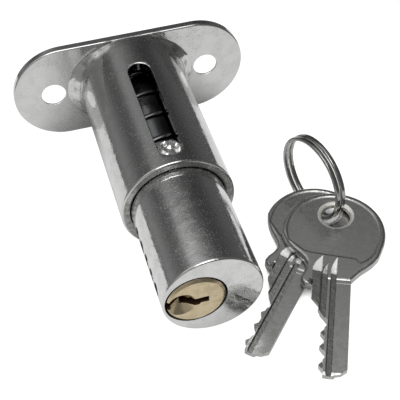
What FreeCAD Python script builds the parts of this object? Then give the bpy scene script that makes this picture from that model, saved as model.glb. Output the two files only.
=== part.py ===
import FreeCAD, Part
import math
import os
import Sketcher
from FreeCAD import Placement, Rotation, Vector

# A push lock for furniture and sliding doors, lying on its side with its two keys on a
# split ring. Row frame in millimetres: +Z up, origin at the middle of the mounting
# flange's back face on the barrel's axis, the key end toward -Y, the table at
# Z = -barrel_radius.
#
# The lock's own pieces are drawn in a lock frame: X across, Y up and Z forward from the
# flange's back face toward the key end. LYING turns that frame into the row frame.

doc = FreeCAD.newDocument("PushLock")
sheet = doc.addObject("Spreadsheet::Sheet", "Sizes")

SIZES = [
    # Housing: one zinc casting of a flange and a barrel
    ("flange_half_length", 30.0),
    ("flange_thick", 2.0),
    ("flange_hole_spacing", 40.0),
    ("flange_hole_radius", 3.1),
    ("flange_edge", 0.35),
    ("barrel_length", 48.5),
    ("barrel_wall", 2.1),
    ("barrel_fillet", 2.6),
    ("back_wall", 3.0),
    ("mouth_bevel", 0.45),
    ("slot_start", 12.5),
    ("slot_land", 2.8),
    ("slot_half_width", 2.8),
    ("keeper_depth", 1.1),
    ("keeper_margin", 0.5),
    # Running clearances, measured on the radius
    ("run", 0.1),
    ("play", 0.2),
    # Plunger
    ("plunger_radius", 11.0),
    ("plunger_out", 27.0),
    ("plunger_bevel", 0.5),
    ("travel", 26.0),
    # Plug, off centre so that the pin chambers fit beside it
    ("plug_offset", 3.7),
    ("plug_radius", 6.35),
    ("plug_proud", 0.5),
    ("plug_bevel", 0.4),
    ("neck_radius", 5.0),
    ("recess_radius", 6.6),
    ("neck_land", 1.4),
    ("clip_thick", 0.5),
    ("clip_groove", 0.7),
    ("clip_land", 0.2),
    ("stub_radius", 1.3),
    ("stub_throw", 1.5),
    ("guide_across", 3.3),
    ("guide_radius", 3.1),
    ("guide_deep", 2.4),
    # Pins
    ("pin_pitch", 4.05),
    ("pin_inset", 5.5),
    ("pin_radius", 1.4),
    ("pin_round", 0.35),
    ("pin_face_gap", 0.2),
    ("driver_face_gap", 0.15),
    ("chamber_floor", 5.4),
    ("chamber_top", 10.2),
    ("driver_length", 3.5),
    ("pin_spring_wall", 0.4),
    # Latch plate in the plunger's cross slot
    ("latch_clear", 1.3),
    ("stub_over", 0.7),
    ("latch_thick", 2.4),
    ("latch_left", 7.0),
    ("latch_right", 3.5),
    ("latch_top", 2.6),
    ("latch_tip", 10.9),
    # Rear plate, bolt and spring
    ("plate_thick", 0.9),
    ("bolt_radius", 4.5),
    ("bolt_end", 0.4),
    ("bolt_bevel", 0.6),
    ("rivet_radius", 2.4),
    ("rivet_proud", 0.8),
    ("screw_across", 4.9),
    ("screw_up", 4.3),
    ("screw_head_radius", 1.7),
    ("screw_head_thick", 0.9),
    ("screw_radius", 1.0),
    ("screw_length", 6.0),
    ("lug_setback", 1.7),
    ("lug_top", 12.9),
    ("lug_shank_radius", 1.3),
    ("lug_foot", 8.3),
    ("spring_wire", 1.4),
    ("spring_radius", 9.3),
    ("spring_turns", 4.0),
    ("spring_end_turns", 0.9),
    ("spring_end_pitch", 1.95),
    ("spring_start_angle", 160.0),
    # Keys: X runs from the hole to the tip, Y to the back edge, Z through the blade
    ("bow_radius", 11.8),
    ("bow_along", 5.0),
    ("bow_across", -0.3),
    ("bow_thick", 2.4),
    ("bow_bevel", 0.35),
    ("bow_foot", 12.3),
    ("key_hole_radius", 3.4),
    ("key_hole_bevel", 0.55),
    ("blade_thick", 2.1),
    ("blade_back", 4.1),
    ("blade_edge", 4.25),
    ("shoulder_at", 19.0),
    ("stop_at", 20.75),
    ("stop_out", 6.5),
    ("cut_flat", 1.2),
    ("cut_slope", 0.8),
    ("cut_1", -2.6),
    ("cut_2", -0.45),
    ("cut_3", -0.95),
    ("cut_4", -0.55),
    ("cut_5", -0.9),
    ("tip_at", 43.2),
    ("tip_chamfer", 2.2),
    ("groove_start", 14.6),
    ("groove_a_low", -0.3),
    ("groove_a_high", 0.85),
    ("groove_a_deep", 0.6),
    ("groove_b_low", -2.3),
    ("groove_b_high", -1.0),
    ("groove_b_deep", 0.55),
    ("under_back_low", 1.4),
    ("under_back_deep", 1.0),
    ("under_edge_high", -2.2),
    ("under_edge_deep", 0.7),
    ("keyway_gap", 0.12),
    ("key_back_in_plug", 9.7),
    # Where the two keys lie
    ("key_yaw", -114.2),
    ("key_x", 35.55),
    ("key_y", -55.9),
    ("spare_yaw", -133.2),
    ("spare_x", 34.6),
    ("spare_y", -51.95),
    ("key_tilt", 2.0),
    ("key_stack_gap", 0.05),
    # Split ring
    ("ring_outer_radius", 10.5),
    ("ring_wire_thick", 0.9),
    ("ring_wire_wide", 1.0),
    ("ring_layer_gap", 0.45),
    ("ring_jog", 22.0),
    ("ring_jog_at", 5.0),
    ("ring_end_gap", 12.0),
    ("ring_yaw", 16.0),
    ("ring_x", 33.1),
    ("ring_y", -47.0),
]

row = 0
for size_name, size_value in SIZES:
    row += 1
    sheet.set("A%d" % row, size_name)
    sheet.set("B%d" % row, str(size_value))
    sheet.setAlias("B%d" % row, size_name)
doc.recompute()

names = {size_name for size_name, size_value in SIZES}

# Places that follow from the sizes: heights are measured forward from the flange's back.
DERIVED = {
    "barrel_radius": "plunger_radius + run + barrel_wall",
    "lug_at": "barrel_length - slot_land - slot_half_width",
    "lug_radius": "slot_half_width - run",
    "plunger_face": "barrel_length + plunger_out",
    "plug_face": "plunger_face + plug_proud",
    "plunger_rear": "lug_at - lug_setback",
    "latch_rear": "plunger_rear + rivet_proud + latch_clear",
    "stub_end": "latch_rear - stub_over",
    "neck_end": "latch_rear + latch_thick + 3 * run",
    "recess_end": "neck_end + clip_land + clip_groove",
    "plug_step": "recess_end + neck_land",
    "pin_front": "plug_face - pin_inset",
    "pin_last": "pin_front - 4 * pin_pitch",
    "cut_first": "stop_at + pin_inset",
}

LYING = Placement(Vector(0, 0, 0), Rotation(Vector(1, 0, 0), 90))
parts = []


def size(expression):
    """The present value of an expression over the sheet's cells and the derived names."""
    return float(sheet.evalExpression(cells(expression).replace("Sizes.", "")))


def cells(expression):
    """The same expression for an object outside the sheet, with derived names put in full."""
    words = []
    word = ""
    for letter in expression + " ":
        if letter.isalnum() or letter == "_":
            word += letter
            continue
        if word in DERIVED:
            word = "(" + cells(DERIVED[word]) + ")"
        elif word in names:
            word = "Sizes." + word
        words += [word, letter]
        word = ""
    return "".join(words).strip()


def new_body(name, placement=LYING):
    body = doc.addObject("PartDesign::Body", name)
    body.Label = name
    body.Placement = placement
    parts.append(body)
    return body


def on_plug_axis(body):
    body.setExpression("Placement.Base.x", cells("-plug_offset"))
    return body


def new_sketch(body, name, plane, lift=None):
    """A sketch on one of the body's own planes, lifted along the plane's normal."""
    sketch = body.newObject("Sketcher::SketchObject", name)
    role = plane + "_Plane"
    support = [f for f in body.Origin.OriginFeatures if f.Role == role][0]
    sketch.AttachmentSupport = [(support, "")]
    sketch.MapMode = "FlatFace"
    if lift:
        sketch.setExpression("AttachmentOffset.Base.z", cells(lift))
    return sketch


def fix_point(sketch, geometry, end, x, y):
    """Hold a point at two expressions, or on an axis where one of them is 0."""
    for kind, axis, value in (("DistanceX", -2, x), ("DistanceY", -1, y)):
        if value == "0":
            sketch.addConstraint(Sketcher.Constraint("PointOnObject", geometry, end, axis))
            continue
        datum = Sketcher.Constraint(kind, -1, 1, geometry, end, size(value))
        number = sketch.addConstraint(datum)
        sketch.setExpression("Constraints[%d]" % number, cells(value))


def add_outline(sketch, corners):
    """A closed outline of straight lines through corners of two expressions each."""
    places = [Vector(size(x), size(y), 0) for x, y in corners]
    first = sketch.GeometryCount
    count = len(corners)
    for i in range(count):
        sketch.addGeometry(Part.LineSegment(places[i], places[(i + 1) % count]), False)
    for i in range(count):
        following = first + (i + 1) % count
        sketch.addConstraint(Sketcher.Constraint("Coincident", first + i, 2, following, 1))
    for i, (x, y) in enumerate(corners):
        fix_point(sketch, first + i, 1, x, y)


def add_circle(sketch, x, y, radius):
    circle = Part.Circle(Vector(size(x), size(y), 0), Vector(0, 0, 1), size(radius))
    number = sketch.addGeometry(circle, False)
    fix_point(sketch, number, 3, x, y)
    datum = sketch.addConstraint(Sketcher.Constraint("Radius", number, size(radius)))
    sketch.setExpression("Constraints[%d]" % datum, cells(radius))


def add_stadium(sketch, low, high, cross, radius, upright):
    """Two half circles of one radius, centred at low and high, joined by straight lines."""
    a, b, c, r = size(low), size(high), size(cross), size(radius)

    def place(along, across):
        return Vector(across, along, 0) if upright else Vector(along, across, 0)

    turn = 0 if upright else math.pi / 2
    circle_a = Part.Circle(place(a, c), Vector(0, 0, 1), r)
    circle_b = Part.Circle(place(b, c), Vector(0, 0, 1), r)
    start = math.pi + turn if upright else turn
    arc_a = sketch.addGeometry(Part.ArcOfCircle(circle_a, start, start + math.pi), False)
    start = start - math.pi
    arc_b = sketch.addGeometry(Part.ArcOfCircle(circle_b, start, start + math.pi), False)
    ends = [sketch.getPoint(arc_a, 1), sketch.getPoint(arc_a, 2)]
    ends += [sketch.getPoint(arc_b, 1), sketch.getPoint(arc_b, 2)]
    line_1 = sketch.addGeometry(Part.LineSegment(ends[1], ends[2]), False)
    line_2 = sketch.addGeometry(Part.LineSegment(ends[3], ends[0]), False)
    sketch.addConstraint(Sketcher.Constraint("Tangent", arc_a, 2, line_1, 1))
    sketch.addConstraint(Sketcher.Constraint("Tangent", line_1, 2, arc_b, 1))
    sketch.addConstraint(Sketcher.Constraint("Tangent", arc_b, 2, line_2, 1))
    sketch.addConstraint(Sketcher.Constraint("Tangent", line_2, 2, arc_a, 1))
    for arc, along in ((arc_a, low), (arc_b, high)):
        x, y = (cross, along) if upright else (along, cross)
        fix_point(sketch, arc, 3, x, y)
    datum = sketch.addConstraint(Sketcher.Constraint("Radius", arc_a, r))
    sketch.setExpression("Constraints[%d]" % datum, cells(radius))


def pad(body, sketch, name, length, middle=False):
    feature = body.newObject("PartDesign::Pad", name)
    feature.Profile = sketch
    feature.setExpression("Length", cells(length))
    feature.Midplane = middle
    doc.recompute()
    body.Tip = feature
    return feature


def cut(body, sketch, name, length, backward=False, middle=False):
    """A pocket against the sketch's normal, or along it if backward."""
    feature = body.newObject("PartDesign::Pocket", name)
    feature.Profile = sketch
    feature.setExpression("Length", cells(length))
    feature.Reversed = backward
    feature.Midplane = middle
    before = body.Shape.Volume
    doc.recompute()
    body.Tip = feature
    doc.recompute()
    if not body.Shape.Volume < before - 0.001:
        raise ValueError(name + " takes nothing away")
    return feature


def turn(body, name, corners, groove=False):
    """Revolve an outline of (radius, height) corners about the body's Z axis."""
    sketch = new_sketch(body, name + "_profile", "XZ")
    add_outline(sketch, corners)
    kind = "PartDesign::Groove" if groove else "PartDesign::Revolution"
    before = body.Shape.Volume if groove else 0
    feature = body.newObject(kind, name)
    feature.Profile = sketch
    feature.ReferenceAxis = (sketch, ["V_Axis"])
    feature.Angle = 360
    doc.recompute()
    body.Tip = feature
    doc.recompute()
    if groove and not body.Shape.Volume < before - 0.001:
        raise ValueError(name + " takes nothing away")
    return feature


def edges_where(shape, test):
    """Names of the shape's edges whose bounding box passes a test."""
    found = []
    for i, edge in enumerate(shape.Edges):
        if test(edge, edge.BoundBox):
            found.append("Edge%d" % (i + 1))
    return found


def dress(body, kind, name, amount, test):
    """A fillet or chamfer on the edges that pass a test."""
    base = body.Tip
    found = edges_where(base.Shape, test)
    if not found:
        raise ValueError(name + " found no edge")
    feature = body.newObject("PartDesign::" + kind, name)
    feature.Base = (base, found)
    feature.setExpression("Radius" if kind == "Fillet" else "Size", cells(amount))
    doc.recompute()
    body.Tip = feature
    doc.recompute()
    return feature


# Housing
bore = "plunger_radius + run"
barrel = "barrel_radius"

housing = new_body("housing")
flange_sketch = new_sketch(housing, "flange_outline", "XY")
flange_end = "flange_half_length - barrel_radius"
add_stadium(flange_sketch, "-(" + flange_end + ")", flange_end, "0", barrel, False)
pad(housing, flange_sketch, "flange", "flange_thick")
barrel_sketch = new_sketch(housing, "barrel_outline", "XY")
add_circle(barrel_sketch, "0", "0", barrel)
pad(housing, barrel_sketch, "barrel", "barrel_length")


turn(housing, "collar", [
    ("plunger_radius", "flange_thick - 0.5"),
    ("barrel_radius + barrel_fillet", "flange_thick - 0.5"),
    ("barrel_radius + barrel_fillet", "flange_thick"),
    ("barrel_radius + barrel_fillet * 0.62", "flange_thick + barrel_fillet * 0.08"),
    ("barrel_radius + barrel_fillet * 0.29", "flange_thick + barrel_fillet * 0.29"),
    ("barrel_radius + barrel_fillet * 0.08", "flange_thick + barrel_fillet * 0.62"),
    ("barrel_radius", "flange_thick + barrel_fillet"),
    ("plunger_radius", "flange_thick + barrel_fillet"),
])
for side, place in (("top", 1), ("bottom", -1)):
    trim = new_sketch(housing, "collar_trim_" + side, "XY")
    low = "barrel_radius" if place > 0 else "-barrel_radius"
    high = "barrel_radius * 2" if place > 0 else "-barrel_radius * 2"
    add_outline(trim, [
        ("-flange_half_length", low),
        ("flange_half_length", low),
        ("flange_half_length", high),
        ("-flange_half_length", high),
    ])
    cut(housing, trim, "collar_flat_" + side, "barrel_length", backward=True)
turn(housing, "bore", [
    ("0", "back_wall"),
    (bore, "back_wall"),
    (bore, "barrel_length - mouth_bevel"),
    (bore + " + mouth_bevel", "barrel_length"),
    (bore + " + mouth_bevel", "barrel_length + 1"),
    ("0", "barrel_length + 1"),
], groove=True)
turn(housing, "keeper", [
    (bore + " - 0.5", "latch_rear - travel - keeper_margin"),
    (bore + " + keeper_depth", "latch_rear - travel - keeper_margin"),
    (bore + " + keeper_depth", "latch_rear - travel + latch_thick + keeper_margin"),
    (bore + " - 0.5", "latch_rear - travel + latch_thick + keeper_margin"),
], groove=True)
bolt_hole = new_sketch(housing, "bolt_hole_outline", "XY")
add_circle(bolt_hole, "0", "0", "bolt_radius + run")
cut(housing, bolt_hole, "bolt_hole", "back_wall + 1", backward=True)
screw_holes = new_sketch(housing, "flange_hole_outlines", "XY")
add_circle(screw_holes, "flange_hole_spacing / 2", "0", "flange_hole_radius")
add_circle(screw_holes, "-flange_hole_spacing / 2", "0", "flange_hole_radius")
cut(housing, screw_holes, "flange_holes", "flange_thick + 1", backward=True)
slot = new_sketch(housing, "slot_outline", "XZ", "-plunger_radius")
slot_low = "slot_start + slot_half_width"
slot_high = "lug_at"
add_stadium(slot, slot_low, slot_high, "0", "slot_half_width", True)
cut(housing, slot, "slot", "barrel_radius", backward=False)
dress(housing, "Chamfer", "flange_rim", "flange_edge", lambda edge, box: (
    abs(box.ZMin - size("flange_thick")) < 0.01
    and box.ZLength < 0.01
    and box.XMax > size("flange_half_length") - 0.01
))

# Plunger
plunger = new_body("plunger")
turn(plunger, "plunger_blank", [
    ("0", "plunger_rear"),
    ("plunger_radius", "plunger_rear"),
    ("plunger_radius", "plunger_face - plunger_bevel"),
    ("plunger_radius - plunger_bevel", "plunger_face"),
    ("0", "plunger_face"),
])
plug_bore = new_sketch(plunger, "plug_bore_outline", "XY", "plunger_face")
add_circle(plug_bore, "-plug_offset", "0", "plug_radius + run")
cut(plunger, plug_bore, "plug_bore", "plunger_face - plug_step")
neck_bore = new_sketch(plunger, "neck_bore_outline", "XY", "plunger_face")
add_circle(neck_bore, "-plug_offset", "0", "neck_radius + run")
cut(plunger, neck_bore, "neck_bore", "plunger_face - plunger_rear")
recess = new_sketch(plunger, "recess_outline", "XY", "plunger_rear")
add_circle(recess, "-plug_offset", "0", "recess_radius")
cut(plunger, recess, "recess", "recess_end - plunger_rear", backward=True)
latch_slot = new_sketch(plunger, "latch_slot_outline", "XZ")
add_outline(latch_slot, [
    ("-latch_left - run", "latch_rear - run"),
    ("latch_right + run", "latch_rear - run"),
    ("latch_right + run", "latch_rear + latch_thick + run"),
    ("-latch_left - run", "latch_rear + latch_thick + run"),
])
cut(plunger, latch_slot, "latch_slot", "plunger_radius + 1", backward=True)
latch_room = new_sketch(plunger, "latch_room_outline", "XY", "latch_rear - run")
add_outline(latch_room, [
    ("-latch_left - run", "0"),
    ("latch_right + run", "0"),
    ("latch_right + run", "latch_top + stub_throw * 1.5 + play"),
    ("-latch_left - run", "latch_top + stub_throw * 1.5 + play"),
])
cut(plunger, latch_room, "latch_room", "latch_thick + 2 * run", backward=True)
chamber = new_sketch(plunger, "chamber_outline", "YZ", "chamber_top")
add_circle(chamber, "0", "pin_last", "pin_radius + run / 2")
chamber_cut = cut(plunger, chamber, "chamber", "chamber_top + plunger_radius + 1")
chambers = plunger.newObject("PartDesign::LinearPattern", "chambers")
chambers.Originals = [chamber_cut]
chambers.Direction = (chamber, ["V_Axis"])
chambers.setExpression("Length", cells("pin_pitch * 4"))
chambers.Occurrences = 5
plunger.Tip = chambers
doc.recompute()
lug_hole = new_sketch(plunger, "lug_hole_outline", "XZ", "-plunger_radius - 1")
add_circle(lug_hole, "0", "lug_at", "lug_shank_radius")
cut(plunger, lug_hole, "lug_hole", "plunger_radius + 1 - lug_foot", backward=True)
tapped = new_sketch(plunger, "tapped_outlines", "XY", "plunger_rear")
add_circle(tapped, "screw_across", "screw_up", "screw_radius")
add_circle(tapped, "screw_across", "-screw_up", "screw_radius")
cut(plunger, tapped, "tapped_holes", "screw_length", backward=True)

# Plug, with the keyway open on its -X side and a throw stub at the rear
plug = on_plug_axis(new_body("plug"))
turn(plug, "plug_blank", [
    ("0", "neck_end"),
    ("neck_radius", "neck_end"),
    ("neck_radius", "plug_step"),
    ("plug_radius", "plug_step"),
    ("plug_radius", "plug_face - plug_bevel"),
    ("plug_radius - plug_bevel", "plug_face"),
    ("0", "plug_face"),
])
turn(plug, "clip_groove_cut", [
    ("neck_radius - clip_thick", "neck_end + clip_land"),
    ("neck_radius + 1", "neck_end + clip_land"),
    ("neck_radius + 1", "neck_end + clip_land + clip_groove"),
    ("neck_radius - clip_thick", "neck_end + clip_land + clip_groove"),
], groove=True)
stub = new_sketch(plug, "stub_outline", "XY", "neck_end")
add_circle(stub, "-stub_throw * 0.70711", "-stub_throw * 0.70711", "stub_radius")
stub_pad = pad(plug, stub, "stub", "neck_end - stub_end")
stub_pad.Reversed = True
doc.recompute()

# Key and keyway share one section: across the blade, the back edge lies toward -X in
# the plug, whose keyway has keyway_gap all round.
back_x = "-(key_back_in_plug - plug_offset)"
keyway = new_sketch(plug, "keyway_outline", "XY", "plug_face")
top = "blade_thick / 2 + keyway_gap"
bottom = "-(blade_thick / 2 + keyway_gap)"


def across(place, gap="0"):
    """A place across the blade, as X in the plug's frame."""
    return back_x + " + blade_back - (" + place + ") + " + gap


add_outline(keyway, [
    ("-plug_radius - 1", top),
    (across("groove_a_high", "-keyway_gap"), top),
    (across("groove_a_high", "-keyway_gap"), top + " - groove_a_deep"),
    (across("groove_a_low", "keyway_gap"), top + " - groove_a_deep"),
    (across("groove_a_low", "keyway_gap"), top),
    (across("groove_b_high", "-keyway_gap"), top),
    (across("groove_b_high", "-keyway_gap"), top + " - groove_b_deep"),
    (across("-blade_edge", "keyway_gap * 2"), top + " - groove_b_deep"),
    (across("-blade_edge", "keyway_gap * 2"), bottom + " + under_edge_deep"),
    (across("under_edge_high", "keyway_gap"), bottom + " + under_edge_deep"),
    (across("under_edge_high", "keyway_gap"), bottom),
    (across("under_back_low", "-keyway_gap"), bottom),
    (across("under_back_low", "-keyway_gap"), bottom + " + under_back_deep"),
    ("-plug_radius - 1", bottom + " + under_back_deep"),
])
cut(plug, keyway, "keyway", "plug_face - plug_step")
guide = plug.newObject("PartDesign::SubtractiveCone", "key_guide")
guide.AttachmentSupport = keyway.AttachmentSupport
guide.MapMode = "FlatFace"
guide.setExpression("AttachmentOffset.Base.x", cells("-guide_across"))
guide.setExpression("AttachmentOffset.Base.z", cells("plug_face - guide_deep"))
guide.setExpression("Radius1", cells("guide_radius - guide_deep"))
guide.setExpression("Radius2", cells("guide_radius"))
guide.setExpression("Height", cells("guide_deep"))
doc.recompute()
plug.Tip = guide
doc.recompute()
pin_hole = new_sketch(plug, "pin_hole_outline", "YZ", "plug_offset - chamber_floor")
add_circle(pin_hole, "0", "pin_last", "pin_radius + run / 2")
pin_hole_cut = cut(plug, pin_hole, "pin_hole", "plug_radius * 2", backward=True)
pin_holes = plug.newObject("PartDesign::LinearPattern", "pin_holes")
pin_holes.Originals = [pin_hole_cut]
pin_holes.Direction = (pin_hole, ["V_Axis"])
pin_holes.setExpression("Length", cells("pin_pitch * 4"))
pin_holes.Occurrences = 5
plug.Tip = pin_holes
doc.recompute()

# Retaining clip in the neck's groove
clip = on_plug_axis(new_body("plug_clip"))
clip_low = "neck_end + clip_land + (clip_groove - clip_thick) / 2"
turn(clip, "clip_ring", [
    ("neck_radius - clip_thick + run", clip_low),
    ("recess_radius - 0.4", clip_low),
    ("recess_radius - 0.4", clip_low + " + clip_thick"),
    ("neck_radius - clip_thick + run", clip_low + " + clip_thick"),
])
clip_gap = new_sketch(clip, "clip_opening", "XY", "neck_end")
add_outline(clip_gap, [
    ("0", "-neck_radius * 0.7"),
    ("recess_radius + 1", "-neck_radius * 0.7"),
    ("recess_radius + 1", "neck_radius * 0.7"),
    ("0", "neck_radius * 0.7"),
])
cut(clip, clip_gap, "clip_opening_cut", "clip_thick * 4", backward=True)

# Pins stand along the row frame's X axis, at the shear line as with a key in the plug
ALONG_X = Placement(Vector(0, 0, 0), Rotation(Vector(0, 1, 0), 90))


def pin_body(name, number):
    body = new_body(name, ALONG_X)
    body.setExpression("Placement.Base.y", cells("-(pin_front - pin_pitch * %d)" % (number - 1)))
    return body


for number in range(1, 6):
    key_pin = pin_body("key_pin_%d" % number, number)
    tip = "-(key_back_in_plug - blade_back) - cut_%d + run / 2" % number
    face = "plug_radius - plug_offset - pin_face_gap"
    turn(key_pin, "key_pin_turned_%d" % number, [
        ("0", tip),
        ("pin_radius * 0.35", tip),
        ("pin_radius", tip + " + pin_radius * 0.65"),
        ("pin_radius", face + " - pin_round"),
        ("pin_radius - pin_round", face),
        ("0", face),
    ])

for number in range(1, 6):
    driver = pin_body("driver_pin_%d" % number, number)
    foot = "plug_radius - plug_offset + driver_face_gap"
    turn(driver, "driver_turned_%d" % number, [
        ("0", foot),
        ("pin_radius - pin_round", foot),
        ("pin_radius", foot + " + pin_round"),
        ("pin_radius", foot + " + driver_length"),
        ("0", foot + " + driver_length"),
    ])

for number in range(1, 6):
    coil = pin_body("pin_spring_%d" % number, number)
    seat = "plug_radius - plug_offset + driver_face_gap + driver_length + run / 2"
    turn(coil, "pin_spring_turned_%d" % number, [
        ("pin_radius - run - pin_spring_wall", seat),
        ("pin_radius - run", seat),
        ("pin_radius - run", "chamber_top - run / 2"),
        ("pin_radius - run - pin_spring_wall", "chamber_top - run / 2"),
    ])

# Latch plate: a flat slide whose foot is turned to the bore
latch = new_body("latch_plate")
latch_sketch = new_sketch(latch, "latch_round", "XY", "latch_rear")
add_circle(latch_sketch, "0", "0", "latch_tip")
pad(latch, latch_sketch, "latch_disc", "latch_thick")
for name, inside, outside in (
    ("left", "-latch_left", "-plunger_radius * 2"),
    ("right", "latch_right", "plunger_radius * 2"),
):
    side_sketch = new_sketch(latch, "latch_side_" + name, "XY", "latch_rear")
    add_outline(side_sketch, [
        (inside, "plunger_radius * 2"),
        (outside, "plunger_radius * 2"),
        (outside, "-plunger_radius * 2"),
        (inside, "-plunger_radius * 2"),
    ])
    cut(latch, side_sketch, "latch_trim_" + name, "latch_thick", backward=True)
top_sketch = new_sketch(latch, "latch_top_outline", "XY", "latch_rear")
add_outline(top_sketch, [
    ("-plunger_radius * 2", "latch_top"),
    ("plunger_radius * 2", "latch_top"),
    ("plunger_radius * 2", "plunger_radius * 2"),
    ("-plunger_radius * 2", "plunger_radius * 2"),
])
cut(latch, top_sketch, "latch_trim_top", "latch_thick", backward=True)
throw_slot = new_sketch(latch, "throw_slot_outline", "XY", "latch_rear")
add_stadium(
    throw_slot,
    "-plug_offset - stub_throw - run / 2",
    "-plug_offset - stub_throw * 0.70711 + run / 2",
    "-stub_throw * 0.70711",
    "stub_radius + run",
    False,
)
cut(latch, throw_slot, "throw_slot", "latch_thick", backward=True)

# Rear plate, held by two screws and the bolt's rivet
plate = new_body("rear_plate")
plate_sketch = new_sketch(plate, "plate_outline", "XY", "plunger_rear - plate_thick")
add_circle(plate_sketch, "0", "0", "plunger_radius - run")
pad(plate, plate_sketch, "plate", "plate_thick")
plate_holes = new_sketch(plate, "plate_hole_outlines", "XY", "plunger_rear - plate_thick")
add_circle(plate_holes, "0", "0", "rivet_radius")
add_circle(plate_holes, "screw_across", "screw_up", "screw_radius")
add_circle(plate_holes, "screw_across", "-screw_up", "screw_radius")
cut(plate, plate_holes, "plate_holes", "plate_thick", backward=True)

bolt = new_body("bolt_rod")
bolt_face = "plunger_rear - plate_thick"
turn(bolt, "bolt_turned", [
    ("0", "bolt_end"),
    ("bolt_radius - bolt_bevel", "bolt_end"),
    ("bolt_radius", "bolt_end + bolt_bevel"),
    ("bolt_radius", bolt_face),
    ("rivet_radius", bolt_face),
    ("rivet_radius", "plunger_rear + rivet_proud"),
    ("0", "plunger_rear + rivet_proud"),
])

# Two pan-head screws in one node
screws = doc.addObject("Part::Compound", "plate_screws")
screws.Label = "plate_screws"
turned_screws = []
for side, sign in (("upper", ""), ("lower", "-")):
    head = doc.addObject("Part::Cylinder", "screw_head_" + side)
    head.setExpression("Radius", cells("screw_head_radius"))
    head.setExpression("Height", cells("screw_head_thick"))
    shank = doc.addObject("Part::Cylinder", "screw_shank_" + side)
    shank.setExpression("Radius", cells("screw_radius"))
    shank.setExpression("Height", cells("screw_length + plate_thick"))
    for piece, start in (
        (head, "plunger_rear - plate_thick - screw_head_thick"),
        (shank, "plunger_rear - plate_thick"),
    ):
        piece.Placement = LYING
        piece.setExpression("Placement.Base.x", cells("screw_across"))
        piece.setExpression("Placement.Base.y", cells("-(" + start + ")"))
        piece.setExpression("Placement.Base.z", cells(sign + "screw_up"))
    screw = doc.addObject("Part::MultiFuse", "screw_" + side)
    screw.Shapes = [head, shank]
    turned_screws.append(screw)
screws.Links = turned_screws
parts.append(screws)

# Guide lug: a stud staked into the plunger that runs in the housing's slot
lug = new_body("guide_lug", Placement())
lug.setExpression("Placement.Base.y", cells("-lug_at"))
turn(lug, "lug_turned", [
    ("0", "lug_foot"),
    ("lug_shank_radius", "lug_foot"),
    ("lug_shank_radius", "plunger_radius + 0.02"),
    ("lug_radius", "plunger_radius + 0.02"),
    ("lug_radius", "lug_top - 0.3"),
    ("lug_radius - 0.5", "lug_top"),
    ("0", "lug_top"),
])


# Main spring: one wire from the back wall to the rear plate
def spring_point(turns):
    """A point of the wire's middle line, counted in turns from its rear end."""
    end_rise = size("spring_end_turns * spring_end_pitch")
    start = size("back_wall + spring_wire / 2 + 0.02")
    stop = size("plunger_rear - plate_thick - spring_wire / 2 - 0.02")
    pitch = (stop - start - 2 * end_rise) / size("spring_turns")
    steep = turns - size("spring_end_turns")
    steep = min(max(steep, 0), size("spring_turns"))
    height = start + (turns - steep) * size("spring_end_pitch") + steep * pitch
    angle = math.radians(size("spring_start_angle") + 360 * turns)
    radius = size("spring_radius")
    return Vector(radius * math.cos(angle), -height, radius * math.sin(angle))


def spring_direction(turns):
    step = spring_point(turns + 0.1) - spring_point(turns - 0.1)
    return step.normalize()


def arc_between(start, corner, end):
    """The arc from start to end whose end tangents meet at corner."""
    weight = (end - start).Length / 2 / (corner - start).Length
    middle = ((start + end) * 0.5 + corner * weight) * (1 / (1 + weight))
    return Part.Arc(start, middle, end).toShape()


def biarc(start, start_way, end, end_way):
    span = end - start
    ways = start_way + end_way
    turned = 2 * (1 - start_way.dot(end_way))
    reach = math.sqrt(span.dot(ways) ** 2 + turned * span.dot(span)) - span.dot(ways)
    reach = reach / turned
    first_corner = start + start_way * reach
    second_corner = end - end_way * reach
    joint = (first_corner + second_corner) * 0.5
    return [arc_between(start, first_corner, joint), arc_between(joint, second_corner, end)]


total_turns = size("spring_turns + 2 * spring_end_turns")
steps = round(total_turns * 4)
stops = [total_turns * i / steps for i in range(steps + 1)]
edges = []
for here, there in zip(stops[:-1], stops[1:]):
    edges += biarc(
        spring_point(here), spring_direction(here), spring_point(there), spring_direction(there)
    )
path = Part.Wire(edges)
round_wire = Part.Circle(spring_point(0), spring_direction(0), size("spring_wire") / 2)
main_spring = doc.addObject("Part::Feature", "main_spring")
main_spring.Label = "main_spring"
main_spring.Shape = path.makePipeShell([Part.Wire([round_wire.toShape()])], True, False)
parts.append(main_spring)

samples = [spring_point(total_turns * i / 600) for i in range(601)]
half_turn = math.ceil(600 / total_turns / 2)
least = min(
    (samples[i] - samples[k]).Length for i in range(601) for k in range(i + half_turn, 601)
)
print("main_spring: least gap to itself %.2f mm" % (least - size("spring_wire")))

# Keys
bitting = [("cut_first - cut_flat / 2 - (cut_1 + blade_edge) / cut_slope", "-blade_edge")]
for number in range(1, 6):
    place = "(cut_first + pin_pitch * %d)" % (number - 1)
    bitting.append((place + " - cut_flat / 2", "cut_%d" % number))
    bitting.append((place + " + cut_flat / 2", "cut_%d" % number))
    if number < 5:
        drop = "(cut_%d - cut_%d) / 2" % (number, number + 1)
        peak = place + " + pin_pitch / 2 + " + drop + " / cut_slope"
        level = "cut_%d - cut_slope * (pin_pitch / 2 - cut_flat / 2) - " % number + drop
        bitting.append((peak, level))


# The way along the lower key, about whose level cross line both keys lean
along_x = math.cos(math.radians(size("spare_yaw")))
along_y = math.sin(math.radians(size("spare_yaw")))


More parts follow.
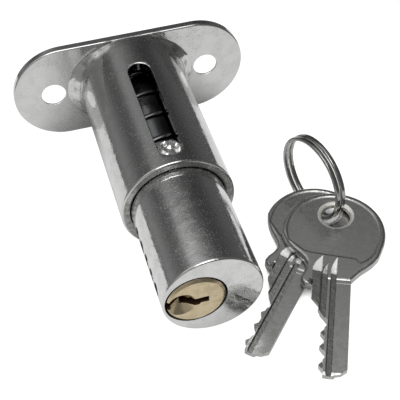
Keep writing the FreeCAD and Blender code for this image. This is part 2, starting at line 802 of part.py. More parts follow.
def make_key(name, yaw, x, y, level):
    """A key of the sheet's sizes, laid down at a yaw and a place."""
    body = new_body(name, Placement())
    bow_sketch = new_sketch(body, name + "_bow_outline", "XY")
    add_circle(bow_sketch, "bow_along", "bow_across", "bow_radius")
    pad(body, bow_sketch, name + "_bow", "bow_thick", middle=True)
    foot = new_sketch(body, name + "_foot_cut_outline", "XY")
    add_outline(foot, [
        ("bow_foot", "-bow_radius * 2"),
        ("bow_foot * 2", "-bow_radius * 2"),
        ("bow_foot * 2", "bow_radius * 2"),
        ("bow_foot", "bow_radius * 2"),
    ])
    cut(body, foot, name + "_bow_foot", "bow_thick * 2", middle=True)
    dress(body, "Chamfer", name + "_bow_rim", "bow_bevel", lambda edge, box: (
        edge.Curve.TypeId == "Part::GeomCircle" and box.ZLength < 0.01
    ))
    shoulder = new_sketch(body, name + "_shoulder_outline", "XY")
    add_outline(shoulder, [
        ("bow_along + bow_radius * 0.5", "-bow_radius * 0.7"),
        ("stop_at - 4", "-stop_out - 0.6"),
        ("stop_at - 1.2", "-stop_out"),
        ("stop_at - 0.35", "-stop_out + 0.35"),
        ("stop_at", "-stop_out + 1.2"),
        ("stop_at", "blade_back"),
        ("shoulder_at", "blade_back"),
        ("bow_along + bow_radius * 0.56", "bow_across + bow_radius * 0.82"),
    ])
    pad(body, shoulder, name + "_shoulder", "blade_thick", middle=True)
    blade = new_sketch(body, name + "_blade_outline", "XY")
    outline = [("shoulder_at", "blade_back"), ("shoulder_at", "-blade_edge + 0.1")]
    outline += bitting
    outline += [
        ("tip_at", "cut_5 + tip_chamfer * 0.3"),
        ("tip_at", "blade_back - tip_chamfer"),
        ("tip_at - tip_chamfer * 0.7", "blade_back"),
    ]
    add_outline(blade, outline)
    pad(body, blade, name + "_blade", "blade_thick", middle=True)
    for groove, low, high, deep, start, above in (
        ("a", "groove_a_low", "groove_a_high", "groove_a_deep", "groove_start", True),
        ("b", "groove_b_low", "groove_b_high", "groove_b_deep", "groove_start", True),
        ("c", "-blade_edge - 0.2", "groove_b_low", "groove_b_deep", "stop_at + 0.2", True),
        ("d", "under_back_low", "blade_back + 1", "under_back_deep", "stop_at", False),
        ("e", "-blade_edge - 0.2", "under_edge_high", "under_edge_deep", "stop_at + 0.2", False),
    ):
        lift = "blade_thick / 2" if above else "-blade_thick / 2"
        mill = new_sketch(body, name + "_groove_outline_" + groove, "XY", lift)
        add_outline(mill, [
            (start, low),
            ("tip_at + 1", low),
            ("tip_at + 1", high),
            (start, high),
        ])
        cut(body, mill, name + "_groove_" + groove, deep, backward=not above)
    hole = new_sketch(body, name + "_hole_outline", "XY")
    add_circle(hole, "0", "0", "key_hole_radius")
    cut(body, hole, name + "_hole", "bow_thick * 2", middle=True)
    dress(body, "Chamfer", name + "_hole_rim", "key_hole_bevel", lambda edge, box: (
        edge.Curve.TypeId == "Part::GeomCircle"
        and abs(edge.Curve.Center.x) < 0.01
        and abs(edge.Curve.Center.y) < 0.01
        and box.ZLength < 0.01
    ))
    lean = Rotation(Vector(-along_y, along_x, 0), size("key_tilt"))
    heading = Rotation(Vector(0, 0, 1), size(yaw))
    body.Placement = Placement(Vector(size(x), size(y), level), lean.multiply(heading))
    return body


# Both keys lie face to face in one leaning plane, which meets the table at the lower
# key's tip and stands on the split ring at the bows.
lean_sine = math.sin(math.radians(size("key_tilt")))
table = -size("barrel_radius")
spare_level = table + size("blade_thick") / 2 + size("tip_at") * lean_sine + 0.02
run_between = (size("key_x") - size("spare_x")) * along_x + (size("key_y") - size("spare_y")) * along_y
key_level = spare_level + size("bow_thick + key_stack_gap") - run_between * lean_sine
spare = make_key("key_2", "spare_yaw", "spare_x", "spare_y", spare_level)
key = make_key("key_1", "key_yaw", "key_x", "key_y", key_level)
print("hole heights %.2f %.2f" % (key_level, spare_level))

# Split ring: one flat wire in two flat turns, joined by a jog that climbs from the rear
# turn to the front one. Its axis lies level, and it stands on the table.
ring_turned = Rotation(Vector(0, 0, 1), size("ring_yaw"))
ring_turned = ring_turned.multiply(Rotation(Vector(0, 1, 0), 90))
ring_turned = ring_turned.multiply(Rotation(Vector(0, 0, 1), size("ring_jog_at")))
ring_level = table + size("ring_outer_radius") + 0.02
ring_place = Placement(Vector(size("ring_x"), size("ring_y"), ring_level), ring_turned)
ring = new_body("key_ring", ring_place)
rear_low = "-ring_layer_gap / 2 - ring_wire_wide"


def ring_profile(name, angle, low):
    """The flat wire's section at an angle about the ring's axis."""
    profile = new_sketch(ring, name, "XZ")
    profile.AttachmentOffset = Placement(Vector(0, 0, 0), Rotation(Vector(0, 1, 0), angle))
    add_outline(profile, [
        ("ring_outer_radius - ring_wire_thick", low),
        ("ring_outer_radius", low),
        ("ring_outer_radius", low + " + ring_wire_wide"),
        ("ring_outer_radius - ring_wire_thick", low + " + ring_wire_wide"),
    ])
    return profile


def ring_turn(name, profile):
    layer = ring.newObject("PartDesign::Revolution", name)
    layer.Profile = profile
    layer.ReferenceAxis = (profile, ["V_Axis"])
    layer.setExpression("Angle", cells("360 - ring_jog - ring_end_gap"))
    doc.recompute()
    ring.Tip = layer
    doc.recompute()


half_jog = size("ring_jog") / 2
ring_turn("rear_turn", ring_profile("rear_section", half_jog + size("ring_end_gap"), rear_low))
jog = ring.newObject("PartDesign::AdditiveHelix", "jog")
jog.Profile = ring_profile("jog_section", -half_jog, rear_low)
jog.ReferenceAxis = (jog.Profile[0], ["V_Axis"])
jog.Mode = 0
jog.setExpression("Pitch", cells("(ring_wire_wide + ring_layer_gap) * 360 / ring_jog"))
jog.setExpression("Height", cells("ring_wire_wide + ring_layer_gap"))
jog.Angle = 0
doc.recompute()
ring.Tip = jog
doc.recompute()
ring_turn("front_turn", ring_profile("front_section", half_jog, "ring_layer_gap / 2"))

doc.recompute()
os.makedirs("parts", exist_ok=True)
for part in parts:
    if "Invalid" in part.State or "Error" in part.State:
        raise ValueError(part.Label + " is " + str(part.State))
    if part.Shape.isNull() or not part.Shape.isValid():
        raise ValueError(part.Label + " has no valid shape")
    part.Shape.exportStep("parts/" + part.Label + ".step")
    print(part.Label, len(part.Shape.Solids), "%.1f" % part.Shape.Volume)
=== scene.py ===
import math

import bmesh
import bpy
from mathutils import Matrix, Vector, noise


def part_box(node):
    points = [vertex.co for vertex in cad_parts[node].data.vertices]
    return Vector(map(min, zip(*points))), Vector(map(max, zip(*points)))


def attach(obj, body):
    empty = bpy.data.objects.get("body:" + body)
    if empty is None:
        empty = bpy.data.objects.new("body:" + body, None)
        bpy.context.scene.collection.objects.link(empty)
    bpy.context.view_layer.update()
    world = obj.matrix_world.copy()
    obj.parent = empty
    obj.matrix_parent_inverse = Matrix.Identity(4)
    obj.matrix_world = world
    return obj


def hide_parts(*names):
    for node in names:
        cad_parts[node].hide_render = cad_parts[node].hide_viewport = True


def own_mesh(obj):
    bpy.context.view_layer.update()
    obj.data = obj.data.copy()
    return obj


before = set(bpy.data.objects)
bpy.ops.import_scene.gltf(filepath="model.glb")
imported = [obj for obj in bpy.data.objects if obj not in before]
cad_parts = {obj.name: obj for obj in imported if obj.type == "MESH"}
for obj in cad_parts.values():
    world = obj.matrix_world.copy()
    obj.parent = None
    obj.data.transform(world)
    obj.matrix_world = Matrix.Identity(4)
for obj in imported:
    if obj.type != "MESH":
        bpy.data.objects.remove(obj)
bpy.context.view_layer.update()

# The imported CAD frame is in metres, and the lock lies on its side in it, with its flange's
# back at Y = 0 and its key end toward -Y. Sizes below are in millimetres, and "along" is
# how far a place lies from the flange's back toward the key end.
MM = 0.001


# Housing: a zinc casting, polished and chromed, of an oval flange and a round barrel with
# a foot that spreads into the flange. A slot in the top guides the plunger's lug, and two
# holes take the screws. The bores are left as cast, and their near black colour is painted shade.
def circle(radius, along, across=(0, 0), steps=256, tall=None):
    """Points round a line parallel to the lock's axis, or round an oval as tall as given."""
    ring = []
    for i in range(steps):
        angle = 2 * math.pi * i / steps
        x = across[0] + radius * math.cos(angle)
        z = across[1] + (tall or radius) * math.sin(angle)
        ring.append(Vector((x, -along, z)) * MM)
    return ring


def shell(name, rings, material):
    """A closed shell through rings of equally many points, with flat ends."""
    mesh = bmesh.new()
    rows = [[mesh.verts.new(point) for point in ring] for ring in rings]
    for here, there in zip(rows[:-1], rows[1:]):
        for i in range(len(here)):
            k = (i + 1) % len(here)
            mesh.faces.new((here[i], here[k], there[k], there[i]))
    mesh.faces.new(rows[0])
    mesh.faces.new(rows[-1])
    bmesh.ops.recalc_face_normals(mesh, faces=mesh.faces)
    data = bpy.data.meshes.new(name)
    mesh.to_mesh(data)
    mesh.free()
    data.materials.append(material)
    piece = bpy.data.objects.new(name, data)
    bpy.context.scene.collection.objects.link(piece)
    return piece


def turned(name, outline, material, across=(0, 0), steps=256):
    """A shell turned about a line parallel to the lock's axis, from (radius, along) pairs."""
    return shell(name, [circle(radius, along, across, steps) for radius, along in outline], material)


def drawn(name, sections, material):
    """A shell through outlines across the lock, each given with its place along it."""
    return shell(name, [
        [Vector((x, -along, z)) * MM for x, z in outline] for outline, along in sections
    ], material)


def carve(piece, tool, operation="DIFFERENCE"):
    """Cuts the tool out of the piece, or joins it. The cut takes on the tool's material."""
    modifier = piece.modifiers.new("carve", "BOOLEAN")
    modifier.operation = operation
    modifier.solver = "EXACT"
    modifier.material_mode = "TRANSFER"
    modifier.object = tool
    settle(piece)
    bpy.data.objects.remove(tool)


def settle(piece):
    """Puts the result of a piece's modifiers into its mesh and removes them."""
    bpy.context.view_layer.update()
    graph = bpy.context.evaluated_depsgraph_get()
    result = bpy.data.meshes.new_from_object(piece.evaluated_get(graph))
    piece.modifiers.clear()
    piece.data = result
    return piece


def smooth(piece, angle=30):
    """Smooth shading up to an angle, with normals led by the large faces."""
    piece.data.shade_smooth()
    piece.data.set_sharp_from_angle(angle=math.radians(angle))
    modifier = piece.modifiers.new("normals", "WEIGHTED_NORMAL")
    modifier.keep_sharp = True
    modifier.weight = 100
    return settle(piece)


def finish(piece, body, *nodes):
    """Gives a piece its body and lets it stand for the CAD nodes named."""
    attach(piece, body)
    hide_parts(*nodes)


def rounded(corner, before, after, radius, steps=3):
    """Points that round a corner of an outline, given the places before and after it."""
    corner, before, after = (Vector(place) for place in (corner, before, after))
    start = corner + (before - corner).normalized() * radius
    end = corner + (after - corner).normalized() * radius
    places = []
    for i in range(steps + 1):
        t = i / steps
        places.append(tuple(start * (1 - t) ** 2 + corner * 2 * t * (1 - t) + end * t ** 2))
    return places


def stadium(half_length, half_width, steps):
    """The outline of an oval of two half circles and straight sides, as pairs of numbers."""
    middle = half_length - half_width
    places = []
    for side in (1, -1):
        for i in range(steps + 1):
            angle = math.pi * (i / steps - 0.5)
            places.append((
                side * (middle + half_width * math.cos(angle)), side * half_width * math.sin(angle)
            ))
    return places


def feed(tree, socket, value):
    """Links another node's result to a socket, or sets a plain value on it."""
    if isinstance(value, bpy.types.NodeSocket):
        tree.links.new(value, socket)
    else:
        socket.default_value = value


def number(tree, operation, *values):
    """The result of a Math node on other nodes' results or plain numbers."""
    node = tree.nodes.new("ShaderNodeMath")
    node.operation = operation
    for socket, value in zip(node.inputs, values):
        feed(tree, socket, value)
    return node.outputs["Value"]


def graded(tree, value, start, stop, low=0.0, high=1.0, soft=False):
    """The result of a Map Range node: low up to the start, and high from the stop on."""
    node = tree.nodes.new("ShaderNodeMapRange")
    if soft:
        node.interpolation_type = "SMOOTHSTEP"
    feed(tree, node.inputs["Value"], value)
    feed(tree, node.inputs["From Min"], start)
    feed(tree, node.inputs["From Max"], stop)
    feed(tree, node.inputs["To Min"], low)
    feed(tree, node.inputs["To Max"], high)
    return node.outputs["Result"]


def cloud(tree, place, scale, detail):
    """The result of a Noise Texture node, with its scale in waves per metre."""
    node = tree.nodes.new("ShaderNodeTexNoise")
    feed(tree, node.inputs["Vector"], place)
    feed(tree, node.inputs["Scale"], scale)
    feed(tree, node.inputs["Detail"], detail)
    return node.outputs["Fac"]


def blend(tree, share, first, second, kind="RGBA"):
    """The result of a Mix node between two colours or, where the kind is FLOAT, two numbers."""
    node = tree.nodes.new("ShaderNodeMix")
    node.data_type = kind
    feed(tree, node.inputs["Factor"], share)
    feed(tree, node.inputs["A"], first)
    feed(tree, node.inputs["B"], second)
    return node.outputs["Result"]


def plating_group():
    """Shared group for plated surfaces. Waves is a height for a bump, Haze is 0 to 1 where
    the polish is dull, and Pits is 0 to 1 in fine dull specks."""
    group = bpy.data.node_groups.new("plating", "ShaderNodeTree")
    for name in ("Ripple scale", "Grain scale", "Grain", "Haze scale"):
        group.interface.new_socket(name, in_out="INPUT", socket_type="NodeSocketFloat")
    for name in ("Waves", "Haze", "Pits"):
        group.interface.new_socket(name, in_out="OUTPUT", socket_type="NodeSocketFloat")
    entry = group.nodes.new("NodeGroupInput").outputs
    leave = group.nodes.new("NodeGroupOutput").inputs
    place = group.nodes.new("ShaderNodeTexCoord").outputs["Object"]
    ripple = cloud(group, place, entry["Ripple scale"], 2)
    grain = cloud(group, place, entry["Grain scale"], 3)
    haze = graded(group, cloud(group, place, entry["Haze scale"], 5), 0.44, 0.6)
    height = number(group, "MULTIPLY", entry["Grain"], haze)
    group.links.new(number(group, "MULTIPLY_ADD", grain, height, ripple), leave["Waves"])
    group.links.new(haze, leave["Haze"])
    group.links.new(graded(group, grain, 0.56, 0.66), leave["Pits"])
    return group


plating = plating_group()


def metal(name, clear, dull, gloss, bump=0.0, ripple=160, grain=2600, grain_height=1.0, haze=120,
          pitted=0.0, metallic=1.0):
    """A metal that wavers between a clear and a dull colour and between two roughnesses.
    Ripple, grain and haze are scales in waves per metre, the bump is in millimetres, and
    pitted is the roughness that the fine specks add."""
    material = bpy.data.materials.new(name)
    material.use_nodes = True
    tree = material.node_tree
    shader = tree.nodes["Principled BSDF"].inputs
    shader["Metallic"].default_value = metallic
    wear = tree.nodes.new("ShaderNodeGroup")
    wear.node_tree = plating
    wear.inputs["Ripple scale"].default_value = ripple
    wear.inputs["Grain scale"].default_value = grain
    wear.inputs["Grain"].default_value = grain_height
    wear.inputs["Haze scale"].default_value = haze
    dullness = wear.outputs["Haze"]
    tree.links.new(blend(tree, dullness, (*clear, 1), (*dull, 1)), shader["Base Color"])
    rough = graded(tree, dullness, 0.0, 1.0, *gloss)
    specked = number(tree, "MULTIPLY_ADD", wear.outputs["Pits"], pitted, rough)
    tree.links.new(specked, shader["Roughness"])
    if bump:
        relief = tree.nodes.new("ShaderNodeBump")
        relief.inputs["Strength"].default_value = 1.0
        relief.inputs["Distance"].default_value = bump * MM
        tree.links.new(wear.outputs["Waves"], relief.inputs["Height"])
        tree.links.new(relief.outputs["Normal"], shader["Normal"])
    return material


def paint_corner_shade(material):
    """Paints shade as a darker colour into the corner between the flange and the foot, broken up by noise,
    and makes the surface rougher there.
    """
    tree = material.node_tree
    place = tree.nodes.new("ShaderNodeTexCoord").outputs["Object"]
    parts = tree.nodes.new("ShaderNodeSeparateXYZ")
    tree.links.new(place, parts.inputs["Vector"])
    x, y, z = parts.outputs
    away = number(tree, "SQRT", number(tree, "MULTIPLY_ADD", x, x, number(tree, "MULTIPLY", z, z)))
    from_corner = number(tree, "ABSOLUTE", number(tree, "ADD", y, 3 * MM))
    near_foot = graded(tree, away, 19.5 * MM, 14.5 * MM, -0.3, 0.1)
    past_corner = graded(tree, from_corner, 1.2 * MM, 2.8 * MM, 0.0, -0.5)
    amount = number(tree, "ADD", cloud(tree, place, 420, 6), near_foot)
    # Painted shade: the corner between flange and foot is mixed toward a near black colour.
    corner_shade = graded(tree, number(tree, "ADD", amount, past_corner), 0.56, 0.78, 0.0, 0.75)
    for name, corner_value, kind in (
        ("Base Color", (0.13, 0.13, 0.125, 1), "RGBA"), ("Roughness", 0.5, "FLOAT"),
    ):
        socket = tree.nodes["Principled BSDF"].inputs[name]
        clean = socket.links[0].from_socket
        tree.links.new(blend(tree, corner_shade, clean, corner_value, kind), socket)


chrome = metal(
    "housing_chrome", (0.595, 0.595, 0.59), (0.56, 0.56, 0.555), (0.05, 0.14),
    bump=0.007, grain=3200, grain_height=2.2, haze=350, pitted=0.28,
)
# The housing's chrome gets painted shade in the corner between the flange and the foot.
paint_corner_shade(chrome)
raw_zinc = metal(
    "raw_zinc", (0.55, 0.55, 0.54), (0.34, 0.34, 0.335), (0.25, 0.45),
    bump=0.02, ripple=500, grain_height=2.0, haze=700,
)
# Painted light: the screw holes' walls are coloured near white so that they look lit inside.
bare_zinc = metal("bare_zinc", (0.9, 0.9, 0.9), (0.8, 0.8, 0.8), (0.5, 0.6))
# Painted shade: bores, slots and chambers are coloured near black, standing in for the shade inside them.
dark_bore = metal("dark_bore", (0.12, 0.12, 0.12), (0.05, 0.05, 0.05), (0.3, 0.5))

flange_low, flange_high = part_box("housing")
barrel_long = -flange_low.y / MM
barrel_radius = flange_high.z / MM
flange_half = flange_high.x / MM
flange_thick, flange_round, flange_back_round = 2.0, 0.45, 0.2
foot_wide, foot_long, foot_bevel, foot_curve, foot_steps = 16.3, 3.9, 0.15, 2.6, 12
foot_start = flange_thick + 2 * foot_bevel
lip_round = 0.5
bore_radius, bore_start, bolt_hole = 11.1, 3.0, 4.6
latch_groove_start, latch_groove_end, latch_groove_deep = 16.7, 20.3, 1.1
screw_place, screw_hole, screw_hole_back = 20, 3.1, 4.6
slot_half = 2.8
slot_start, slot_end = 12.5, barrel_long - 2.8

foot = [(foot_wide, flange_thick / 2), (foot_wide, flange_thick + foot_bevel)]
foot.append((foot_wide - foot_bevel, foot_start))
for i in range(1, foot_steps + 1):
    t = i / foot_steps
    spread = (foot_wide - foot_bevel - barrel_radius) * (1 - t) ** foot_curve
    foot.append((barrel_radius + spread, foot_start + foot_long * t))
# Rings just past the slot's ends keep the barrel's long faces from spoiling the shading.
beside_slot = [(barrel_radius, slot_start - 0.6), (barrel_radius, slot_end + 0.6)]
lip = rounded((barrel_radius, barrel_long), (barrel_radius, 0), (0, barrel_long), lip_round, 6)
housing = shell("housing_shell", [
    circle(radius, along, tall=barrel_radius - 0.02) for radius, along in foot
] + [
    circle(radius, along) for radius, along in beside_slot + lip
], chrome)
back_edge = rounded((0, 0), (flange_thick, 0), (0, flange_thick), flange_back_round)
front_edge = rounded((0, flange_thick), (0, 0), (flange_thick, flange_thick), flange_round, 5)
carve(housing, drawn("flange", [
    (stadium(flange_half - within, barrel_radius - within, 48), along)
    for within, along in back_edge + front_edge
], chrome), "UNION")
carve(housing, turned("bore", [
    (bolt_hole, -1), (bolt_hole, bore_start), (bore_radius, bore_start),
    (bore_radius, latch_groove_start), (bore_radius + latch_groove_deep, latch_groove_start),
    (bore_radius + latch_groove_deep, latch_groove_end), (bore_radius, latch_groove_end),
    (bore_radius, barrel_long - 0.9),
], dark_bore))
carve(housing, turned("mouth", [
    (bore_radius, barrel_long - 1), (bore_radius, barrel_long - 0.6),
    (bore_radius + 0.15, barrel_long - 0.25), (bore_radius + 0.5, barrel_long - 0.02),
    (barrel_radius - lip_round, barrel_long - 0.02), (barrel_radius - lip_round, barrel_long + 0.3),
], raw_zinc))
# The screw holes' walls take the near white colour, which is painted light.
for x in (screw_place, -screw_place):
    carve(housing, turned("screw_hole", [
        (screw_hole_back + 0.5, -0.5), (screw_hole_back, 0.0), (screw_hole, 1.5),
        (screw_hole, flange_thick - 0.1), (screw_hole + 0.4, flange_thick + 0.3),
    ], bare_zinc, (x, 0), 64))


def slot_ring(grow, above):
    """The slot's outline grown sideways, at a height above the barrel's round surface."""
    middle = (slot_start + slot_end) / 2
    half_long = (slot_end - slot_start) / 2
    ring = []
    for along, cross in stadium(half_long + grow, slot_half + grow, 24):
        crown = math.sqrt(barrel_radius ** 2 - min(abs(cross), slot_half) ** 2)
        ring.append(Vector((cross, -(middle + along), crown + above)) * MM)
    return ring


carve(housing, shell("slot", [
    slot_ring(0, -5), slot_ring(0, -0.28), slot_ring(0.05, -0.12), slot_ring(0.14, -0.03),
    slot_ring(0.3, 0.05), slot_ring(0.6, 2),
], chrome))
finish(smooth(housing), "housing_body", "housing")

# Plunger: a turned brass slide, polished and chromed, bored off centre for the plug and
# drilled crosswise from its thin side for the five pins. A slot across its rear part,
# open below, takes the latch.
bright = metal(
    "plunger_chrome", (0.64, 0.64, 0.635), (0.59, 0.59, 0.585), (0.04, 0.14),
    bump=0.006, grain=3200, grain_height=3.0, haze=350, pitted=0.3,
)
plunger_radius, plunger_round = 11.0, 0.55
plunger_rear, plunger_face = 41.2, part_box("plunger")[0].y / -MM
plug_axis = (-3.7, 0)
plug_bore, plug_mouth, clip_room, neck_bore = 6.45, 6.82, 6.6, 5.1
neck_start, neck_end = 46.9, 48.3
latch_left, latch_right, latch_top, latch_below = -7.1, 3.6, 5.05, -12
latch_start, latch_end = 43.2, 45.8
pin_front, pin_pitch = 70.5, 4.05
chamber_radius, chamber_floor = 1.45, 10.2

face_edge = rounded((plunger_radius, plunger_face), (plunger_radius, 0), (0, plunger_face), plunger_round, 5)
plunger = turned("plunger_slide", [
    (plunger_radius - 0.2, plunger_rear), (plunger_radius, plunger_rear + 0.2),
] + face_edge, bright)
carve(plunger, turned("plug_bore", [
    (neck_bore, plunger_rear - 1), (neck_bore, plunger_rear - 0.5), (clip_room, plunger_rear - 0.5),
    (clip_room, neck_start), (neck_bore, neck_start), (neck_bore, neck_end), (plug_bore, neck_end),
    (plug_bore, plunger_face - 0.6), (plug_mouth, plunger_face + 0.02),
    (plug_mouth + 0.18, plunger_face + 0.5),
], dark_bore, plug_axis, 128))
latch_slot = [
    (latch_left, latch_below), (latch_right, latch_below), (latch_right, latch_top), (latch_left, latch_top),
]
carve(plunger, drawn("latch_slot", [(latch_slot, latch_start), (latch_slot, latch_end)], dark_bore))


def cross_circle(radius, x, along, steps=48):
    """Points round a line that runs along X."""
    ring = []
    for i in range(steps):
        angle = 2 * math.pi * i / steps
        ring.append(Vector((x, -along + radius * math.cos(angle), radius * math.sin(angle))) * MM)
    return ring


pin_places = [pin_front - pin_pitch * i for i in range(5)]
for along in pin_places:
    carve(plunger, shell("chamber", [
        cross_circle(chamber_radius + 0.15, -plunger_radius - 0.3, along),
        cross_circle(chamber_radius + 0.07, -plunger_radius + 0.1, along),
        cross_circle(chamber_radius, -plunger_radius + 0.25, along),
        cross_circle(chamber_radius, chamber_floor, along),
    ], dark_bore))
finish(smooth(plunger), "plunger_body", "plunger")

# Plug: a turned brass cylinder in the plunger's bore. The keyway is milled through it and
# open toward the thin side, with a countersunk guide for the key's tip at its mouth. The
# stub on its rear end draws the latch.
brass = metal(
    "plug_brass", (0.57, 0.48, 0.32), (0.52, 0.43, 0.28), (0.26, 0.4),
    bump=0.004, ripple=500, grain=1500, grain_height=0.5, haze=500,
)
# Painted shade: the keyway and pin holes are coloured dark brown, standing in for the shade inside the plug.
keyway_brass = metal("keyway_brass", (0.17, 0.1, 0.06), (0.1, 0.06, 0.035), (0.5, 0.7))
plug_radius, plug_bevel = 6.35, 0.6
plug_face = plunger_face + 0.5
neck_radius, clip_groove_radius = 5.0, 4.5
plug_rear, clip_groove_start = 46.0, 46.2
plug_shoulder = neck_end + 0.1
guide_place, guide_radius, guide_deep = plug_axis[0] - 3.3, 3.1, 2.3
stub_radius, stub_rear = 1.3, 42.6
stub_throw = 1.5 * math.sqrt(0.5)

plug = turned("plug_cylinder", [
    (neck_radius, plug_rear), (neck_radius, clip_groove_start),
    (clip_groove_radius, clip_groove_start), (clip_groove_radius, neck_start),
    (neck_radius, neck_start), (neck_radius, plug_shoulder),
    (plug_radius, plug_shoulder), (plug_radius, plug_face - plug_bevel),
    (plug_radius - plug_bevel * 0.9, plug_face - plug_bevel * 0.1),
    (plug_radius - plug_bevel - 0.1, plug_face),
], brass, plug_axis, 192)
keyway = [(plug_axis[0] + x, z) for x, z in (
    (-7.4, 1.2), (-2.87, 1.2), (-2.87, 0.6), (-1.48, 0.6), (-1.48, 1.2), (-0.95, 1.2),
    (-0.6, 0.85), (2.59, 0.85), (2.59, -0.75), (0.8, -0.7), (0.42, -1.17), (-3.42, -1.17),
    (-3.42, -0.17), (-5.5, -0.17), (-5.5, -1.0), (-7.4, -1.0),
)]
carve(plug, drawn("keyway", [(keyway, neck_end), (keyway, plug_face + 1)], keyway_brass))
carve(plug, turned("key_guide", [
    (0.2, plug_face - guide_deep), (guide_radius, plug_face),
    (guide_radius + 0.15, plug_face + 0.05), (guide_radius + 0.5, plug_face + 1),
], brass, (guide_place, 0), 96))
for along in pin_places:
    carve(plug, shell("pin_hole", [cross_circle(chamber_radius, x, along) for x in (-5.4, 4)], keyway_brass))
carve(plug, turned("stub", [
    (stub_radius - 0.15, stub_rear), (stub_radius, stub_rear + 0.15), (stub_radius, plug_rear + 0.5),
], brass, (plug_axis[0] - stub_throw, -stub_throw), 48), "UNION")
finish(smooth(plug), "plug_body", "plug")

# Pin tumblers, clip, latch, rear plate and bolt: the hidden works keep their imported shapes.
# Key pins are brass, drivers and small springs steel, and the rear pieces zinc plated.
pin_brass = metal("pin_brass", (0.74, 0.6, 0.3), (0.6, 0.48, 0.24), (0.2, 0.35))
pin_steel = metal("pin_steel", (0.6, 0.6, 0.6), (0.45, 0.45, 0.45), (0.2, 0.35))
zinc = metal("plated_steel", (0.6, 0.61, 0.62), (0.48, 0.49, 0.5), (0.25, 0.4))
dark_steel = metal("clip_steel", (0.25, 0.25, 0.26), (0.15, 0.15, 0.16), (0.25, 0.4))
works = (
    ("key_pin", pin_brass), ("driver_pin", pin_steel), ("pin_spring", dark_steel),
    ("plug_clip", dark_steel), ("latch_plate", zinc), ("rear_plate", zinc),
    ("bolt_rod", zinc), ("plate_screws", zinc),
)
for node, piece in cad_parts.items():
    for start, material in works:
        if node.startswith(start):
            piece.data.materials.clear()
            piece.data.materials.append(material)

# Guide lug: a steel stud staked into the plunger, its head rough, and coloured near white as a
# painted highlight. It runs in the housing's slot and stops the plunger at the slot's front end.
lug_highlight_steel = metal(
    "lug_steel", (0.97, 0.97, 0.96), (0.85, 0.85, 0.84), (0.2, 0.35),
    bump=0.01, ripple=900, grain=1800, haze=900,
)
lug_at = slot_end - slot_half
stem_radius, stem_foot, stem_top = 1.3, 8.3, 11.02
head_radius, head_top, highest_bump = 2.7, 12.62, 12.88
dent_size, dent_scale, dent_seed = 0.9, 0.62, 3.7
profile = [
    (stem_radius, stem_foot), (stem_radius, stem_top), (head_radius, stem_top), (head_radius, 12.1),
    (head_radius - 0.04, 12.3), (head_radius - 0.2, 12.5),
] + [(2.25 - 0.25 * i, head_top) for i in range(9)]
lug_rings = []
for radius, height in profile:
    lug_ring = []
    for i in range(64):
        angle = 2 * math.pi * i / 64
        x, y = radius * math.cos(angle), radius * math.sin(angle)
        dent = 0
        if height > 12.4:
            dent = dent_size * noise.noise(Vector((x * dent_scale, y * dent_scale, dent_seed)))
        lug_ring.append(Vector((x, y - lug_at, min(height + dent, highest_bump))) * MM)
    lug_rings.append(lug_ring)
lug = shell("lug_stud", lug_rings, lug_highlight_steel)
finish(smooth(lug, 60), "plunger_body", "guide_lug")


# Main spring: one round steel wire, blackened and oiled, wound between the barrel's back
# wall and the plunger's rear plate. Its coils show in the slot as thin glints.
def wire_tree(name, size_names):
    """A new tree with named sizes. Gives the tree, its sizes and the share of the wire's
    length at each point."""
    tree = bpy.data.node_groups.new(name, "GeometryNodeTree")
    for size_name in size_names:
        tree.interface.new_socket(size_name, in_out="INPUT", socket_type="NodeSocketFloat")
    tree.interface.new_socket("Material", in_out="INPUT", socket_type="NodeSocketMaterial")
    tree.interface.new_socket("Geometry", in_out="OUTPUT", socket_type="NodeSocketGeometry")
    share = tree.nodes.new("GeometryNodeSplineParameter").outputs["Factor"]
    return tree, tree.nodes.new("NodeGroupInput").outputs, share


def about(tree, radius, angle):
    """The two coordinates of a place at a radius and an angle round an axis."""
    return [number(tree, "MULTIPLY", radius, number(tree, part, angle)) for part in ("COSINE", "SINE")]


def spot(tree, x, y, z):
    """A place made of three results or numbers by a Combine XYZ node."""
    node = tree.nodes.new("ShaderNodeCombineXYZ")
    for socket, value in zip(node.inputs, (x, y, z)):
        feed(tree, socket, value)
    return node.outputs["Vector"]


def draw_wire(tree, entry, points, place, section):
    """Bends a line of that many points along place, and sweeps the section along it."""
    line = tree.nodes.new("GeometryNodeCurvePrimitiveLine")
    resample = tree.nodes.new("GeometryNodeResampleCurve")
    resample.inputs["Count"].default_value = points
    bend = tree.nodes.new("GeometryNodeSetPosition")
    upright = tree.nodes.new("GeometryNodeSetCurveNormal")
    upright.mode = "Z_UP"
    sweep = tree.nodes.new("GeometryNodeCurveToMesh")
    sweep.inputs["Fill Caps"].default_value = True
    real = tree.nodes.new("GeometryNodeRealizeInstances")
    paint = tree.nodes.new("GeometryNodeSetMaterial")
    leave = tree.nodes.new("NodeGroupOutput")
    links = tree.links
    links.new(line.outputs["Curve"], resample.inputs["Curve"])
    links.new(resample.outputs["Curve"], bend.inputs["Geometry"])
    links.new(place, bend.inputs["Position"])
    links.new(bend.outputs["Geometry"], upright.inputs["Curve"])
    links.new(upright.outputs["Curve"], sweep.inputs["Curve"])
    links.new(section, sweep.inputs["Profile Curve"])
    links.new(sweep.outputs["Mesh"], real.inputs["Geometry"])
    links.new(real.outputs["Geometry"], paint.inputs["Geometry"])
    links.new(entry["Material"], paint.inputs["Material"])
    links.new(paint.outputs["Geometry"], leave.inputs["Geometry"])


def grown(name, tree, material, **sizes):
    """A plain mesh made by a tree, with its sizes given by name."""
    piece = bpy.data.objects.new(name, bpy.data.meshes.new(name))
    bpy.context.scene.collection.objects.link(piece)
    modifier = piece.modifiers.new("grown", "NODES")
    modifier.node_group = tree
    for socket in tree.interface.items_tree:
        key = socket.name.lower().replace(" ", "_")
        if key in sizes:
            modifier[socket.identifier] = float(sizes[key])
        elif socket.name == "Material":
            modifier[socket.identifier] = material
    return settle(piece)


